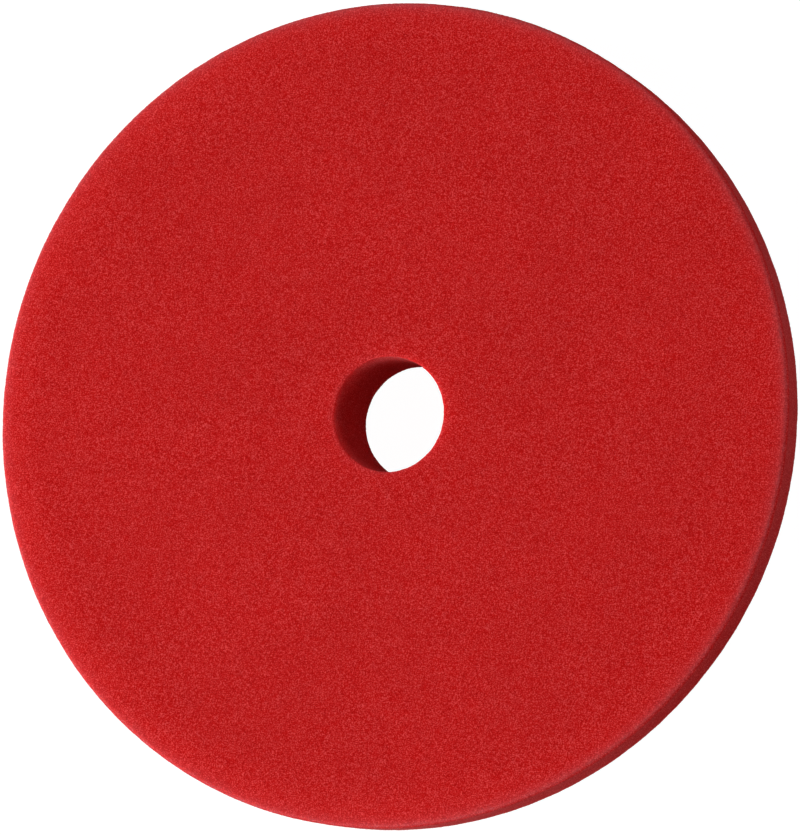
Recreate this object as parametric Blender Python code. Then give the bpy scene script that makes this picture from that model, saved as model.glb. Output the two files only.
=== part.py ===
"""Foam polishing pad for a dual action polisher: a low, wide disc of open-cell foam with a
hole through its centre, bonded to a hook-and-loop backing of the size of a 150 mm plate.

The pad lies on its loop backing, working face up. The origin is the centre of its underside,
+Z is the pad's axis. Everything is a turned shape round +Z, in metres.
"""

import math

import bmesh
import bpy
from mathutils import Matrix, Vector

MM = 0.001

# Driving dimensions
FACE_RADIUS = 82.5 * MM  # working face, 165 mm across (6.5 in)
FOAM_THICKNESS = 20.0 * MM  # back of the foam to the working face
HOLE_RADIUS = 11.5 * MM  # centring and cooling hole through the foam
RIM_HEIGHT = 8.3 * MM  # straight part of the rim, below the working face
RIM_TAPER = 0.4 * MM  # how far the rim draws in over that height
BACK_RADIUS = 76.0 * MM  # foam at the bond, where the back bevel ends
PLATE_RADIUS = 75.0 * MM  # loop fabric and adhesive, for a 150 mm backing plate
BACK_HOLE_RADIUS = 12.7 * MM  # hole in the fabric, set back 1.2 mm from the foam's
FILM_SETBACK = 0.3 * MM  # film, set back from the fabric's edges
FACE_EDGE = 0.8 * MM  # softening of the cut edge round the working face
HOLE_EDGE = 0.4 * MM  # the same at the mouth of the hole
RIM_EDGE = 1.2 * MM  # where the rim turns into the back bevel
LOOP_THICKNESS = 1.1 * MM  # knitted loop fabric
FILM_THICKNESS = 0.3 * MM  # hot-melt adhesive film
LAYER_GAP = 0.3 * MM  # kept between neighbouring layers
SEGMENTS = 96  # round the axis
FILLET_STEPS = 4


def wipe():
    """Empties the scene."""
    for item in list(bpy.data.objects):
        bpy.data.objects.remove(item, do_unlink=True)


def rounded(corners):
    """A closed outline in (radius, height) from corners given as (radius, height, fillet).

    A corner with a fillet becomes an arc that is tangent to both of its sides."""
    outline = []
    count = len(corners)
    for i, (r, z, fillet) in enumerate(corners):
        here = Vector((r, z))
        if fillet <= 0:
            outline.append(here)
            continue
        back = (Vector(corners[i - 1][:2]) - here).normalized()
        ahead = (Vector(corners[(i + 1) % count][:2]) - here).normalized()
        half = back.angle(ahead) / 2
        reach = fillet / math.tan(half)
        centre = here + (back + ahead).normalized() * (fillet / math.sin(half))
        start, end = here + back * reach - centre, here + ahead * reach - centre
        turn = start.angle_signed(end)
        for k in range(FILLET_STEPS + 1):
            a = -turn * k / FILLET_STEPS
            outline.append(
                centre
                + Vector(
                    (
                        start.x * math.cos(a) - start.y * math.sin(a),
                        start.x * math.sin(a) + start.y * math.cos(a),
                    )
                )
            )
    return outline


def material(name, colour, roughness, sheen=0.0):
    """A Principled material for one layer."""
    made = bpy.data.materials.new(name)
    made.use_nodes = True
    shader = made.node_tree.nodes["Principled BSDF"]
    shader.inputs["Base Color"].default_value = (*colour, 1.0)
    shader.inputs["Roughness"].default_value = roughness
    shader.inputs["Metallic"].default_value = 0.0
    shader.inputs["Sheen Weight"].default_value = sheen
    made.diffuse_color = (*colour, 1.0)
    return made


def turned(name, corners, base, skin, parent):
    """A ring turned round +Z from the outline's corners, its underside at height base."""
    outline = rounded(corners)
    bm = bmesh.new()
    ring = [bm.verts.new((p.x, 0.0, p.y)) for p in outline]
    edges = [bm.edges.new((a, b)) for a, b in zip(ring, ring[1:] + ring[:1])]
    bmesh.ops.spin(
        bm,
        geom=ring + edges,
        cent=(0.0, 0.0, 0.0),
        axis=(0.0, 0.0, 1.0),
        angle=math.tau,
        steps=SEGMENTS,
        use_merge=True,
    )
    bmesh.ops.remove_doubles(bm, verts=bm.verts, dist=1e-6)
    bmesh.ops.recalc_face_normals(bm, faces=bm.faces)
    mesh = bpy.data.meshes.new(name)
    bm.to_mesh(mesh)
    bm.free()
    mesh.materials.append(skin)
    mesh.shade_smooth()
    mesh.set_sharp_from_angle(angle=math.radians(35))
    item = bpy.data.objects.new(name, mesh)
    bpy.context.scene.collection.objects.link(item)
    item.parent = parent
    item.matrix_parent_inverse = Matrix.Identity(4)
    item.location = (0.0, 0.0, base)
    return item


def build():
    wipe()
    pad = bpy.data.objects.new("polishing_pad", None)
    bpy.context.scene.collection.objects.link(pad)

    red = material("red_foam", (0.48, 0.02, 0.018), 0.9, 0.3)
    charcoal = material("loop_fabric", (0.03, 0.03, 0.033), 0.95, 0.3)
    amber = material("adhesive", (0.55, 0.5, 0.42), 0.5)

    # Loop fabric: a flat ring whose cut edges are slightly soft. The pad rests on it.
    turned(
        "loop_backing",
        [
            (BACK_HOLE_RADIUS, LOOP_THICKNESS, 0.0),
            (PLATE_RADIUS, LOOP_THICKNESS, 0.0),
            (PLATE_RADIUS, 0.0, 0.4 * MM),
            (BACK_HOLE_RADIUS, 0.0, 0.4 * MM),
        ],
        0.0,
        charcoal,
        pad,
    )

    # Adhesive film: a thin flat ring between the fabric and the foam.
    film_base = LOOP_THICKNESS + LAYER_GAP
    film_outer = PLATE_RADIUS - FILM_SETBACK
    film_inner = BACK_HOLE_RADIUS + FILM_SETBACK
    turned(
        "adhesive_film",
        [
            (film_inner, FILM_THICKNESS, 0.0),
            (film_outer, FILM_THICKNESS, 0.0),
            (film_outer, 0.0, 0.0),
            (film_inner, 0.0, 0.0),
        ],
        film_base,
        amber,
        pad,
    )

    # Foam: face, nearly straight rim, then a bevel in to the width of the backing.
    foam_base = film_base + FILM_THICKNESS + LAYER_GAP
    turned(
        "foam_disc",
        [
            (HOLE_RADIUS, FOAM_THICKNESS, HOLE_EDGE),
            (FACE_RADIUS, FOAM_THICKNESS, FACE_EDGE),
            (FACE_RADIUS - RIM_TAPER, FOAM_THICKNESS - RIM_HEIGHT, RIM_EDGE),
            (BACK_RADIUS, 0.0, 0.0),
            (HOLE_RADIUS, 0.0, 0.0),
        ],
        foam_base,
        red,
        pad,
    )


build()
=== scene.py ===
"""Foam polishing pad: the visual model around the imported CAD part.

The foam is one closed turned body with a real open-cell surface, the loop fabric and the
glue line under it are pieces of their own. Metres, +Z out of the working face.
"""

import math

import bpy
import numpy as np
from mathutils import Matrix, Vector, noise


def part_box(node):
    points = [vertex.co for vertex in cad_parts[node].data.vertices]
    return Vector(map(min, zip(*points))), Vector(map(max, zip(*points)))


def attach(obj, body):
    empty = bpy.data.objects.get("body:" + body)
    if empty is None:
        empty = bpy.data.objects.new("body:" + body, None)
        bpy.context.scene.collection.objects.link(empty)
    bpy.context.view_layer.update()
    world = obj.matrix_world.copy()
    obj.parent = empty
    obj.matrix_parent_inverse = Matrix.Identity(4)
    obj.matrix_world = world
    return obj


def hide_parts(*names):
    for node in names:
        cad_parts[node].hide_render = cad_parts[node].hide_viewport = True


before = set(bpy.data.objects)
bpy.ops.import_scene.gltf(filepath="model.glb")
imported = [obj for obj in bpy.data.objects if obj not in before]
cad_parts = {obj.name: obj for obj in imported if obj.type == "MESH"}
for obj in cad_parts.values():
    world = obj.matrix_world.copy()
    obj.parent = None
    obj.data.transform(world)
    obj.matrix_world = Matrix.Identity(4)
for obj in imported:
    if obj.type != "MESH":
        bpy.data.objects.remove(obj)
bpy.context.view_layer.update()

MM = 0.001
TAU = math.tau

foam_low, foam_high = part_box("foam_disc")
cloth_low, cloth_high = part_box("loop_backing")

# The foam's profile, as the CAD part has it
FACE_Z = foam_high.z
FACE_R = 82.5 * MM
HOLE_R = 11.5 * MM
RIM_H = 8.3 * MM
RIM_TAPER = 0.4 * MM
BACK_R = 76.0 * MM
FACE_EDGE = 0.8 * MM
HOLE_EDGE = 0.28 * MM
RIM_EDGE = 1.2 * MM
SHOULDER = 9.0 * MM
SHOULDER_DROP = 0.65 * MM
# The layers below it close the gaps that the CAD solids keep
FOAM_Z = 1.72 * MM
FILM_Z = 1.42 * MM
PLATE_R = 75.0 * MM
BACK_HOLE_R = 12.7 * MM


# ---------------------------------------------------------------- turned meshes


def rounded(corners, steps=10):
    """A closed outline (r, z) from corners (r, z, fillet)."""
    out = []
    for i, (r, z, fillet) in enumerate(corners):
        here = np.array((r, z), float)
        if fillet <= 0:
            out.append(here)
            continue
        back = np.array(corners[i - 1][:2]) - here
        ahead = np.array(corners[(i + 1) % len(corners)][:2]) - here
        back, ahead = back / np.linalg.norm(back), ahead / np.linalg.norm(ahead)
        half = math.acos(np.clip(back @ ahead, -1, 1)) / 2
        bis = (back + ahead) / np.linalg.norm(back + ahead)
        centre = here + bis * fillet / math.sin(half)
        s = here + back * fillet / math.tan(half) - centre
        e = here + ahead * fillet / math.tan(half) - centre
        a0, a1 = math.atan2(s[1], s[0]), math.atan2(e[1], e[0])
        d = (a1 - a0 + math.pi) % TAU - math.pi
        for k in range(steps + 1):
            a = a0 + d * k / steps
            out.append(centre + fillet * np.array((math.cos(a), math.sin(a))))
    return np.array(out)


def resampled(outline, spacing):
    """Points along the closed outline at the local spacing, with their outward 2-D normals.

    spacing(r, z) is the wanted distance between points there."""
    pts = np.vstack([outline, outline[:1]])
    seg = np.linalg.norm(np.diff(pts, axis=0), axis=1)
    at = np.concatenate([[0], np.cumsum(seg)])
    fine = np.linspace(0, at[-1], int(at[-1] / (0.02 * MM)) + 1)
    fr, fz = np.interp(fine, at, pts[:, 0]), np.interp(fine, at, pts[:, 1])
    h = np.array([spacing(r, z) for r, z in zip(fr, fz)])
    load = np.concatenate([[0], np.cumsum((fine[1] - fine[0]) / h[:-1])])
    count = max(12, int(round(load[-1])))
    want = np.arange(count) / count * load[-1]
    s = np.interp(want, load, fine)
    r, z = np.interp(s, fine, fr), np.interp(s, fine, fz)
    e = 0.12 * MM
    total = at[-1]
    r1, z1 = np.interp((s + e) % total, fine, fr), np.interp((s + e) % total, fine, fz)
    r0, z0 = np.interp((s - e) % total, fine, fr), np.interp((s - e) % total, fine, fz)
    t = np.stack([r1 - r0, z1 - z0], 1)
    t /= np.linalg.norm(t, axis=1)[:, None]
    n = np.stack([-t[:, 1], t[:, 0]], 1)
    return r, z, n, np.interp(s, fine, h)


def turned_mesh(outline, spacing):
    """Vertices, outward normals and triangles of the outline turned round +Z.

    The outline runs outward over the top and back under it. Every ring has as many points
    as its own circle needs, so that the triangles have one size all over."""
    r, z, n, h = resampled(outline, spacing)
    counts = np.maximum(36, np.round(TAU * r / h).astype(int))
    starts = np.concatenate([[0], np.cumsum(counts)])
    shift = (np.arange(len(r)) * 0.61803398875) % 1.0
    verts = np.zeros((starts[-1], 3))
    norms = np.zeros((starts[-1], 3))
    angles = []
    for k in range(len(r)):
        a = (np.arange(counts[k]) + shift[k]) / counts[k] * TAU
        angles.append(a)
        sl = slice(starts[k], starts[k + 1])
        verts[sl] = np.stack([r[k] * np.cos(a), r[k] * np.sin(a), np.full_like(a, z[k])], 1)
        norms[sl] = np.stack([n[k, 0] * np.cos(a), n[k, 0] * np.sin(a), np.full_like(a, n[k, 1])], 1)
    faces = []
    for k in range(len(r)):
        m = (k + 1) % len(r)
        na, nb = counts[k], counts[m]
        aa, ab = angles[k], angles[m]
        # start from b's point that is nearest in angle to a's first
        j0 = int(np.argmin(np.abs((ab - aa[0] + math.pi) % TAU - math.pi)))
        base = aa[0]
        pa = np.concatenate([aa, [aa[0] + TAU]]) - base
        pb = (np.concatenate([np.roll(ab, -j0), [ab[j0]]]) - base + math.pi) % TAU - math.pi
        pb = pb[0] + np.arange(nb + 1) * TAU / nb
        i = j = 0
        sa, sb = starts[k], starts[m]
        while i < na or j < nb:
            if j >= nb or (i < na and pa[i + 1] <= pb[j + 1]):
                faces.append((sa + i % na, sb + (j0 + j) % nb, sa + (i + 1) % na))
                i += 1
            else:
                faces.append((sa + i % na, sb + (j0 + j) % nb, sb + (j0 + j + 1) % nb))
                j += 1
    return verts, norms, np.array(faces, np.int32)


def mesh_object(name, verts, faces, smooth=True):
    mesh = bpy.data.meshes.new(name)
    mesh.vertices.add(len(verts))
    mesh.vertices.foreach_set("co", np.asarray(verts, np.float32).ravel())
    faces = np.asarray(faces, np.int32)
    mesh.loops.add(faces.size)
    mesh.loops.foreach_set("vertex_index", faces.ravel())
    mesh.polygons.add(len(faces))
    mesh.polygons.foreach_set("loop_start", np.arange(len(faces), dtype=np.int32) * faces.shape[1])
    mesh.update(calc_edges=True)
    mesh.validate()
    if smooth:
        mesh.shade_smooth()
    obj = bpy.data.objects.new(name, mesh)
    bpy.context.scene.collection.objects.link(obj)
    return obj


# ---------------------------------------------------------------- materials


def new_material(name):
    mat = bpy.data.materials.new(name)
    mat.use_nodes = True
    nt = mat.node_tree
    return mat, nt, nt.nodes["Principled BSDF"]


def node(nt, kind, **values):
    n = nt.nodes.new(kind)
    for key, value in values.items():
        if key in n.inputs:
            n.inputs[key].default_value = value
        else:
            setattr(n, key, value)
    return n


def ramp(nt, stops, interpolation="LINEAR"):
    n = nt.nodes.new("ShaderNodeValToRGB")
    n.color_ramp.interpolation = interpolation
    el = n.color_ramp.elements
    while len(el) > 1:
        el.remove(el[-1])
    el[0].position, el[0].color = stops[0][0], (*stops[0][1], 1)
    for p, c in stops[1:]:
        e = el.new(p)
        e.color = (*c, 1)
    return n


def foam_material():
    mat, nt, shader = new_material("red_foam")
    link = nt.links.new
    coord = node(nt, "ShaderNodeTexCoord")

    # Open cells: pale strut edges round dark pores, about a quarter of a millimetre across; the whitish palest
    # grain is partly a painted glint on the struts
    grain = node(nt, "ShaderNodeTexNoise", Scale=4300.0, Detail=0.0, Roughness=0.5)
    cells = node(nt, "ShaderNodeTexVoronoi", Scale=3700.0, Randomness=1.0)
    soft = node(nt, "ShaderNodeTexNoise", Scale=42.0, Detail=2.0, Roughness=0.5)
    for t in (grain, cells, soft):
        link(coord.outputs["Object"], t.inputs["Vector"])

    struts = node(nt, "ShaderNodeMath", operation="MULTIPLY_ADD")
    struts.inputs[1].default_value = 0.57
    struts.inputs[2].default_value = 0.19
    link(grain.outputs["Fac"], struts.inputs[0])
    mix = node(nt, "ShaderNodeMath", operation="MULTIPLY_ADD")
    mix.inputs[1].default_value = 0.38
    link(cells.outputs["Distance"], mix.inputs[0])
    link(struts.outputs[0], mix.inputs[2])

    # The whitish top stop is partly real pale struts, partly a painted glint
    tone = ramp(
        nt,
        [
            (0.42, (0.365, 0.0010, 0.0010)),
            (0.66, (0.538, 0.0060, 0.0060)),
            (0.92, (0.705, 0.0780, 0.0780)),
        ],
    )
    link(mix.outputs[0], tone.inputs["Fac"])

    # Slight cloudiness of the dye, a few centimetres across
    cloud = node(nt, "ShaderNodeMapRange")
    cloud.inputs["From Min"].default_value = 0.3
    cloud.inputs["From Max"].default_value = 0.7
    cloud.inputs["To Min"].default_value = 0.975
    cloud.inputs["To Max"].default_value = 1.025
    link(soft.outputs["Fac"], cloud.inputs["Value"])
    dye_and_painted_glow = node(nt, "ShaderNodeVectorMath", operation="SCALE")
    link(tone.outputs["Color"], dye_and_painted_glow.inputs[0])
    # Painted glow: the colour is made up to a tenth brighter near the outer rim and the hole, standing in for
    # light shining through the foam there
    rim = node(nt, "ShaderNodeAttribute", attribute_name="painted_rim_glow", attribute_type="GEOMETRY")
    painted_glow = node(nt, "ShaderNodeMath", operation="MULTIPLY_ADD")
    painted_glow.inputs[1].default_value = 0.10
    link(rim.outputs["Fac"], painted_glow.inputs[0])
    link(cloud.outputs["Result"], painted_glow.inputs[2])
    link(painted_glow.outputs[0], dye_and_painted_glow.inputs["Scale"])
    # Pale pink cut edges: partly the real paler fraying, partly a painted sheen highlight along the edges
    edge = node(nt, "ShaderNodeAttribute", attribute_name="edge_fray_and_sheen", attribute_type="GEOMETRY")
    pale = node(nt, "ShaderNodeMath", operation="MULTIPLY")
    pale.inputs[1].default_value = 0.6
    link(edge.outputs["Fac"], pale.inputs[0])
    fray_and_sheen_mix = node(nt, "ShaderNodeMix", data_type="RGBA")
    link(pale.outputs[0], fray_and_sheen_mix.inputs["Factor"])
    link(dye_and_painted_glow.outputs["Vector"], fray_and_sheen_mix.inputs[6])
    fray_and_sheen_mix.inputs[7].default_value = (0.42, 0.21, 0.24, 1.0)
    link(fray_and_sheen_mix.outputs[2], shader.inputs["Base Color"])

    bump = node(nt, "ShaderNodeBump", Strength=0.55, Distance=0.00012)
    link(mix.outputs[0], bump.inputs["Height"])
    link(bump.outputs["Normal"], shader.inputs["Normal"])

    shader.inputs["Roughness"].default_value = 0.82
    shader.inputs["Specular IOR Level"].default_value = 0.05
    shader.inputs["Subsurface Weight"].default_value = 1.0
    shader.inputs["Subsurface Radius"].default_value = (1.0, 0.15, 0.12)
    shader.inputs["Subsurface Scale"].default_value = 0.0045
    shader.inputs["Sheen Weight"].default_value = 0.08
    shader.inputs["Sheen Roughness"].default_value = 0.4
    shader.inputs["Sheen Tint"].default_value = (1.0, 0.9, 0.95, 1.0)
    return mat


def cloth_material():
    mat, nt, shader = new_material("loop_cloth")
    link = nt.links.new
    coord = node(nt, "ShaderNodeTexCoord")
    fibre = node(nt, "ShaderNodeTexNoise", Scale=3200.0, Detail=3.0, Roughness=0.7)
    patch = node(nt, "ShaderNodeTexNoise", Scale=120.0, Detail=3.0, Roughness=0.6)
    for t in (fibre, patch):
        link(coord.outputs["Object"], t.inputs["Vector"])
    both = node(nt, "ShaderNodeMath", operation="MULTIPLY_ADD")
    both.inputs[1].default_value = 0.35
    link(patch.outputs["Fac"], both.inputs[0])
    link(fibre.outputs["Fac"], both.inputs[2])
    tone = ramp(
        nt,
        [
            (0.45, (0.010, 0.010, 0.011)),
            (0.68, (0.026, 0.026, 0.028)),
            (0.95, (0.085, 0.085, 0.090)),
        ],
    )
    link(both.outputs[0], tone.inputs["Fac"])
    link(tone.outputs["Color"], shader.inputs["Base Color"])
    bump = node(nt, "ShaderNodeBump", Strength=0.7, Distance=0.00012)
    link(fibre.outputs["Fac"], bump.inputs["Height"])
    link(bump.outputs["Normal"], shader.inputs["Normal"])
    shader.inputs["Roughness"].default_value = 0.8
    shader.inputs["Specular IOR Level"].default_value = 0.3
    shader.inputs["Sheen Weight"].default_value = 0.35
    shader.inputs["Sheen Roughness"].default_value = 0.4
    return mat


def glue_material():
    mat, nt, shader = new_material("glue_line")
    link = nt.links.new
    coord = node(nt, "ShaderNodeTexCoord")
    n = node(nt, "ShaderNodeTexNoise", Scale=700.0, Detail=2.0, Roughness=0.5)
    link(coord.outputs["Object"], n.inputs["Vector"])
    tone = ramp(nt, [(0.3, (0.10, 0.05, 0.035)), (0.7, (0.24, 0.15, 0.10))])
    link(n.outputs["Fac"], tone.inputs["Fac"])
    link(tone.outputs["Color"], shader.inputs["Base Color"])
    rough = ramp(nt, [(0.3, (0.35, 0.35, 0.35)), (0.7, (0.6, 0.6, 0.6))])
    link(n.outputs["Fac"], rough.inputs["Fac"])
    link(rough.outputs["Color"], shader.inputs["Roughness"])
    return mat


# ---------------------------------------------------------------- the pieces


def lean(x, y, z):
    """How far the edge of the face sits inward of its circle: this pad's rim leans at the lower right."""
    turn = np.degrees(np.arctan2(-y, x)) - 62.0
    turn = (turn + 180.0) % 360.0 - 180.0
    inset = 0.6 * MM * np.exp(-((turn / np.where(turn < 0, 50.0, 36.0)) ** 2))
    height = np.clip((z - (FACE_Z - RIM_H)) / RIM_H, 0, 1)
    return inset * height * np.clip((np.hypot(x, y) - (FACE_R - 6.0 * MM)) / (5.5 * MM), 0, 1)


def mark_fray_sheen_and_glow(obj, corners):
    """How near each point is to a cut edge, from 0 to 1: cell walls are paler there from fraying, and this
    paleness is also a painted sheen highlight. Also a painted glow near the outer rim and the hole, where light
    shines through the foam.
    """
    mesh = obj.data
    co = np.empty(len(mesh.vertices) * 3, np.float32)
    mesh.vertices.foreach_get("co", co)
    co = co.reshape(-1, 3)
    r, z = np.hypot(co[:, 0], co[:, 1]) + lean(*co.T), co[:, 2]
    torn = np.array([noise.noise(Vector(v) * 900.0) for v in co.astype(float)])
    edge = np.zeros(len(r))
    for a, b in corners:
        across, along = r - a, z - b
        face = b > FACE_Z - 2 * MM
        on_wall = np.clip(-along if face else along, 0, None)
        near = np.hypot(across, np.where(on_wall > 0, 5.0, 1.0) * along)
        level, reach = (0.16, 0.6) if a == HOLE_R else (0.66, 0.83) if face else (0.1, 0.5)
        edge = np.maximum(edge, level * np.exp(-np.clip(near / (reach * MM) + 0.45 * torn, 0, None)))
    # painted sheen highlight along the cut edges, together with their real paler fraying
    layer = mesh.attributes.new("edge_fray_and_sheen", "FLOAT", "POINT")
    layer.data.foreach_set("value", edge.astype(np.float32))
    # Painted glow mask: strongest at the outer rim of the face, weaker by the hole, for light shining through
    # the thin foam
    on_face = np.clip((z - (FACE_Z - 1.6 * MM)) / (1.2 * MM), 0, 1)
    thin = np.exp(-(np.clip(FACE_R - r, 0, None) / (6.0 * MM)) ** 1.4)
    thin = (thin + 0.3 * np.exp(-(np.clip(r - HOLE_R, 0, None) / (5.0 * MM)) ** 1.4)) * on_face
    layer = mesh.attributes.new("painted_rim_glow", "FLOAT", "POINT")
    layer.data.foreach_set("value", thin.astype(np.float32))


def foam_piece():
    outline = rounded(
        [
            (HOLE_R, FACE_Z, HOLE_EDGE),
            (FACE_R, FACE_Z, FACE_EDGE),
            (FACE_R - RIM_TAPER, FACE_Z - RIM_H, RIM_EDGE),
            (BACK_R, FOAM_Z, 0.25 * MM),
            (HOLE_R, FOAM_Z, 0.25 * MM),
        ]
    )
    hidden = FOAM_Z + 0.3 * MM
    corners = (
        (HOLE_R, FACE_Z),
        (FACE_R, FACE_Z),
        (FACE_R - RIM_TAPER, FACE_Z - RIM_H),
        (BACK_R, FOAM_Z),
        (HOLE_R, FOAM_Z),
    )

    def spacing(r, z):
        near = min(math.hypot(r - a, z - b) for a, b in corners)
        if z < hidden and BACK_HOLE_R + 2 * MM < r < PLATE_R - 2 * MM:
            wide = 3.0 * MM
        elif z < FACE_Z - RIM_H:
            wide = 1.15 * MM if r > 40 * MM else 0.85 * MM
        else:
            wide = 0.88 * MM
        return min(wide, 0.26 * MM + 0.4 * max(0.0, near - 0.85 * MM))

    verts, norms, faces = turned_mesh(outline, spacing)
    shown = ~((verts[:, 2] < hidden) & (np.hypot(verts[:, 0], verts[:, 1]) < PLATE_R - MM) & (np.hypot(verts[:, 0], verts[:, 1]) > BACK_HOLE_R + MM))
    # the face eases down a little towards the rim, as cut foam does
    inward = np.clip((FACE_R - np.hypot(verts[:, 0], verts[:, 1])) / SHOULDER, 0, 1)
    upper = np.clip((verts[:, 2] - (FACE_Z - 3.0 * MM)) / (2.4 * MM), 0, 1)
    verts[:, 2] -= SHOULDER_DROP * (1 - inward) ** 2.2 * upper * (inward < 1)
    inset = 1 - lean(*verts.T) / np.hypot(verts[:, 0], verts[:, 1])
    verts[:, 0] *= inset
    verts[:, 1] *= inset
    rng = np.random.default_rng(20)
    grain = rng.normal(0, 1, len(verts)).clip(-2.2, 2.2)
    swell = np.array([noise.noise(Vector(v) * 420.0) for v in verts])
    wide = np.array([noise.noise(Vector(v) * 55.0) for v in verts])
    near = np.min([np.hypot(np.hypot(verts[:, 0], verts[:, 1]) - a, verts[:, 2] - b) for a, b in corners[:2]], 0)
    nick = np.array([noise.noise(Vector(v) * 1300.0) for v in verts]) * np.exp(-near / (0.7 * MM))
    depth = (0.018 * grain + 0.05 * swell + 0.06 * wide + 0.09 * nick) * MM
    verts = verts + norms * (depth * shown)[:, None]
    obj = mesh_object("foam_disc_visual", verts, faces)
    mark_fray_sheen_and_glow(obj, [(a, b - (SHOULDER_DROP if (a, b) == (FACE_R, FACE_Z) else 0)) for a, b in corners])
    obj.data.materials.append(foam_material())
    return obj


def film_piece():
    outline = rounded(
        [
            (BACK_HOLE_R + 0.25 * MM, FOAM_Z + 0.01 * MM, 0.08 * MM),
            (PLATE_R - 0.2 * MM, FOAM_Z + 0.01 * MM, 0.08 * MM),
            (PLATE_R - 0.2 * MM, FILM_Z - 0.01 * MM, 0.08 * MM),
            (BACK_HOLE_R + 0.25 * MM, FILM_Z - 0.01 * MM, 0.08 * MM),
        ],
        4,
    )

    def spacing(r, z):
        near = min(abs(r - BACK_HOLE_R), abs(r - PLATE_R))
        return 0.12 * MM if near < 0.45 * MM else 4.0 * MM

    r, z, n, h = resampled(outline, spacing)
    # one count for every ring keeps this thin band simple
    count = 720
    a = np.arange(count) / count * TAU
    verts = []
    for k in range(len(r)):
        ca, sa = np.cos(a), np.sin(a)
        outer = r[k] > 40 * MM
        edge = min(abs(r[k] - BACK_HOLE_R), abs(r[k] - PLATE_R)) < 0.5 * MM
        wob = np.zeros(count)
        if edge:
            seed = 11.0 if outer else 37.0
            wob = np.array([noise.noise(Vector((x * 45, y * 45, seed))) + 0.5 * noise.noise(Vector((x * 160, y * 160, seed))) for x, y in zip(ca, sa)])
        rr = r[k] + wob * 0.12 * MM * (1 if outer else -1)
        verts.append(np.stack([rr * ca, rr * sa, np.full(count, z[k])], 1))
    verts = np.vstack(verts)
    faces = []
    for k in range(len(r)):
        m = (k + 1) % len(r)
        i = np.arange(count)
        j = (i + 1) % count
        faces.append(np.stack([k * count + i, m * count + i, m * count + j, k * count + j], 1))
    obj = mesh_object("adhesive_film_visual", verts, np.vstack(faces))
    obj.data.materials.append(glue_material())
    return obj


def cloth_piece():
    outline = rounded(
        [
            (BACK_HOLE_R, FILM_Z, 0.25 * MM),
            (PLATE_R, FILM_Z, 0.25 * MM),
            (PLATE_R, 0.12 * MM, 0.45 * MM),
            (BACK_HOLE_R, 0.12 * MM, 0.45 * MM),
        ],
        6,
    )

    def spacing(r, z):
        if z > FILM_Z - 0.2 * MM and BACK_HOLE_R + 2 * MM < r < PLATE_R - 2 * MM:
            return 3.0 * MM
        return 0.52 * MM

    verts, norms, faces = turned_mesh(outline, spacing)
    x, y, z = verts.T
    pile = np.clip((FILM_Z - 0.3 * MM - z) / (0.6 * MM), 0, 1)
    warp = np.array([noise.noise_vector(Vector(v) * 160.0) for v in verts]) * 0.35
    wale, course = 1.35 * MM, 1.15 * MM
    row = np.sin(TAU * x / wale + warp[:, 0] * 3)
    col = np.sin(TAU * y / course + warp[:, 1] * 3 + math.pi * 0.5 * np.sign(row))
    tuft = 0.5 * row + 0.5 * col
    rng = np.random.default_rng(5)
    fuzz = rng.normal(0, 1, len(verts)).clip(-2, 2)
    depth = (0.07 * tuft + 0.03 * fuzz) * MM * pile
    verts = verts + norms * depth[:, None]
    verts[:, 2] = np.maximum(verts[:, 2], 0.0)
    obj = mesh_object("loop_backing_visual", verts, faces)
    obj.data.materials.append(cloth_material())
    return obj


foam = foam_piece()
film = film_piece()
cloth = cloth_piece()

for piece, cad, slot in (
    (foam, "foam_disc", "foam"),
    (film, "adhesive_film", "adhesive"),
    (cloth, "loop_backing", "loop_fabric"),
):
    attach(piece, "root")
    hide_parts(cad)


# ---------------------------------------------------------------- camera, floor and light

TILT = math.radians(19.65)  # between the pad's axis and the line of sight
ROLL = math.radians(17.65)  # the pad's back shows to the right and this far down
LONG_SIDE = 835
FACE_PX = 416.0  # face radius in pixels at the face's distance
CENTRE = (-0.0282, -0.0084)  # face centre from the middle of the picture, in face radii
DISTANCE = 21.8  # in face radii

axis_in_view = Vector(
    (-math.sin(TILT) * math.cos(ROLL), math.sin(TILT) * math.sin(ROLL), math.cos(TILT))
)
up = Vector((0, 1, 0))
world_y = (up - axis_in_view * up.dot(axis_in_view)).normalized()
world_x = world_y.cross(axis_in_view)
view_to_world = Matrix((world_x, world_y, axis_in_view))

face_centre = Vector((0, 0, FACE_Z))
in_view = Vector((CENTRE[0], -CENTRE[1], -DISTANCE)) * FACE_R
camera_data = bpy.data.cameras.new("camera")
camera_data.sensor_fit = "AUTO"
camera_data.sensor_width = 36.0
camera_data.lens = FACE_PX * DISTANCE / LONG_SIDE * 36.0
camera_data.clip_start, camera_data.clip_end = 0.05, 20.0
camera = bpy.data.objects.new("camera", camera_data)
camera.matrix_world = Matrix.Translation(face_centre - view_to_world @ in_view) @ view_to_world.to_4x4()
bpy.context.scene.collection.objects.link(camera)
bpy.context.scene.camera = camera


# the picture's right and down, laid into the face's plane
right = view_to_world @ Vector((1, 0, 0))
right = (right - Vector((0, 0, right.z))).normalized()
down = Vector((0, 0, 1)).cross(right)


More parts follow.
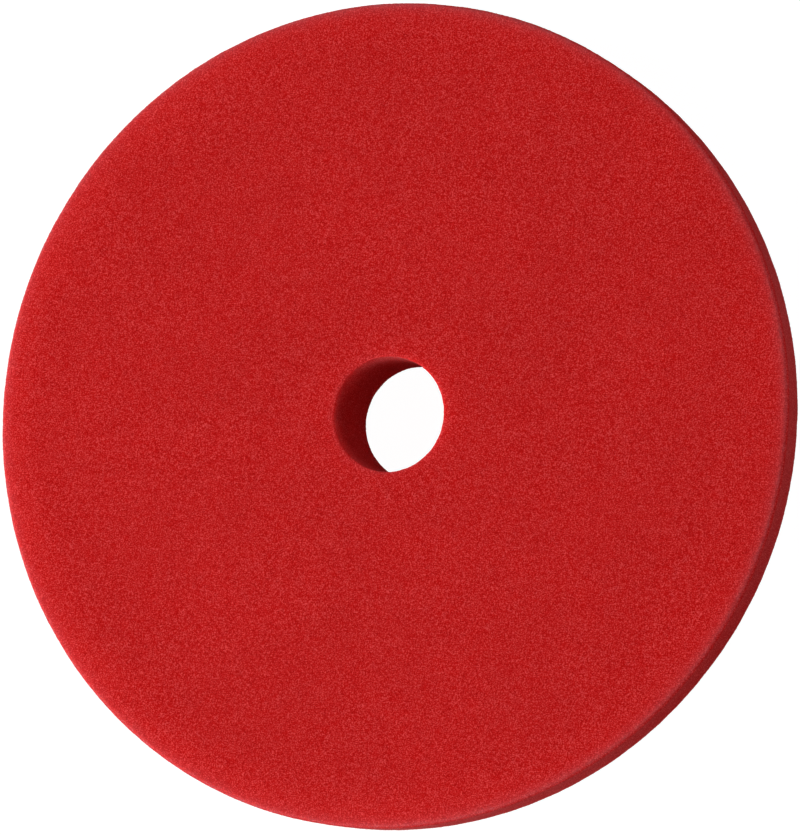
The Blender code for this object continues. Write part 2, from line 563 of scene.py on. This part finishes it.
def softbox(name, polar, round_to, size, watts, distance=2.6):
    """A round softbox aimed at the face, polar degrees off its axis and turned from the
    picture's right towards its bottom by round_to degrees."""
    p, a = math.radians(polar), math.radians(round_to)
    direction = Vector((0, 0, 1)) * math.cos(p) + (right * math.cos(a) - down * math.sin(a)) * math.sin(p)
    data = bpy.data.lights.new(name, "AREA")
    data.shape = "DISK"
    data.size = size
    data.energy = watts
    lamp = bpy.data.objects.new(name, data)
    lamp.location = face_centre + direction * distance
    lamp.rotation_mode = "QUATERNION"
    lamp.rotation_quaternion = (-direction).to_track_quat("-Z", "Y")
    bpy.context.scene.collection.objects.link(lamp)
    return lamp


softbox("key", 48, 176, 1.6, 66.2)
softbox("key_low", 62, 135, 1.4, 27.0)
softbox("fill_right", 45, 352, 1.4, 4.9)
softbox("fill_below", 80, 60, 1.4, 17.8)
softbox("fill_above", 80, 305, 1.4, 16.5)

ROOM_BELOW, ROOM_ABOVE = 0.165, 0.02
world = bpy.data.worlds.new("studio")
bpy.context.scene.world = world
world.use_nodes = True
wnt = world.node_tree
background = wnt.nodes["Background"]
background.inputs["Color"].default_value = (1, 1, 1, 1)
background.inputs["Strength"].default_value = 0.0
bright = node(wnt, "ShaderNodeBackground")
bright.inputs["Color"].default_value = (1, 1, 1, 1)
bright.inputs["Strength"].default_value = 1.0
path = node(wnt, "ShaderNodeLightPath")
either = node(wnt, "ShaderNodeMixShader")
wnt.links.new(path.outputs["Is Camera Ray"], either.inputs["Fac"])
wnt.links.new(background.outputs[0], either.inputs[1])
wnt.links.new(bright.outputs[0], either.inputs[2])
wnt.links.new(either.outputs[0], wnt.nodes["World Output"].inputs["Surface"])
# what light the pale room sends back, most of it up from the table
sky = node(wnt, "ShaderNodeTexCoord")
split = node(wnt, "ShaderNodeSeparateXYZ")
level = node(wnt, "ShaderNodeMapRange")
level.inputs["From Min"].default_value = -0.15
level.inputs["From Max"].default_value = 0.15
level.inputs["To Min"].default_value = ROOM_BELOW
level.inputs["To Max"].default_value = ROOM_ABOVE
wnt.links.new(sky.outputs["Generated"], split.inputs[0])
wnt.links.new(split.outputs["Z"], level.inputs["Value"])
wnt.links.new(level.outputs["Result"], background.inputs["Strength"])

# plain pale floor
side = 3.0
floor = mesh_object(
    "floor",
    [(-side, -side, -0.0002), (side, -side, -0.0002), (side, side, -0.0002), (-side, side, -0.0002)],
    [(0, 1, 2, 3)],
    smooth=False,
)
fmat, fnt, fshader = new_material("floor_white")
fshader.inputs["Base Color"].default_value = (0.12, 0.12, 0.12, 1)
fshader.inputs["Roughness"].default_value = 0.9
fshader.inputs["Specular IOR Level"].default_value = 0.0
fshader.inputs["Emission Color"].default_value = (1, 1, 1, 1)
fshader.inputs["Emission Strength"].default_value = 0.985
floor.data.materials.append(fmat)
floor.visible_diffuse = False
floor.visible_glossy = False
floor.visible_transmission = False
floor.visible_volume_scatter = False

bpy.context.scene.view_settings.view_transform = "Standard"
bpy.context.scene.view_settings.look = "None"
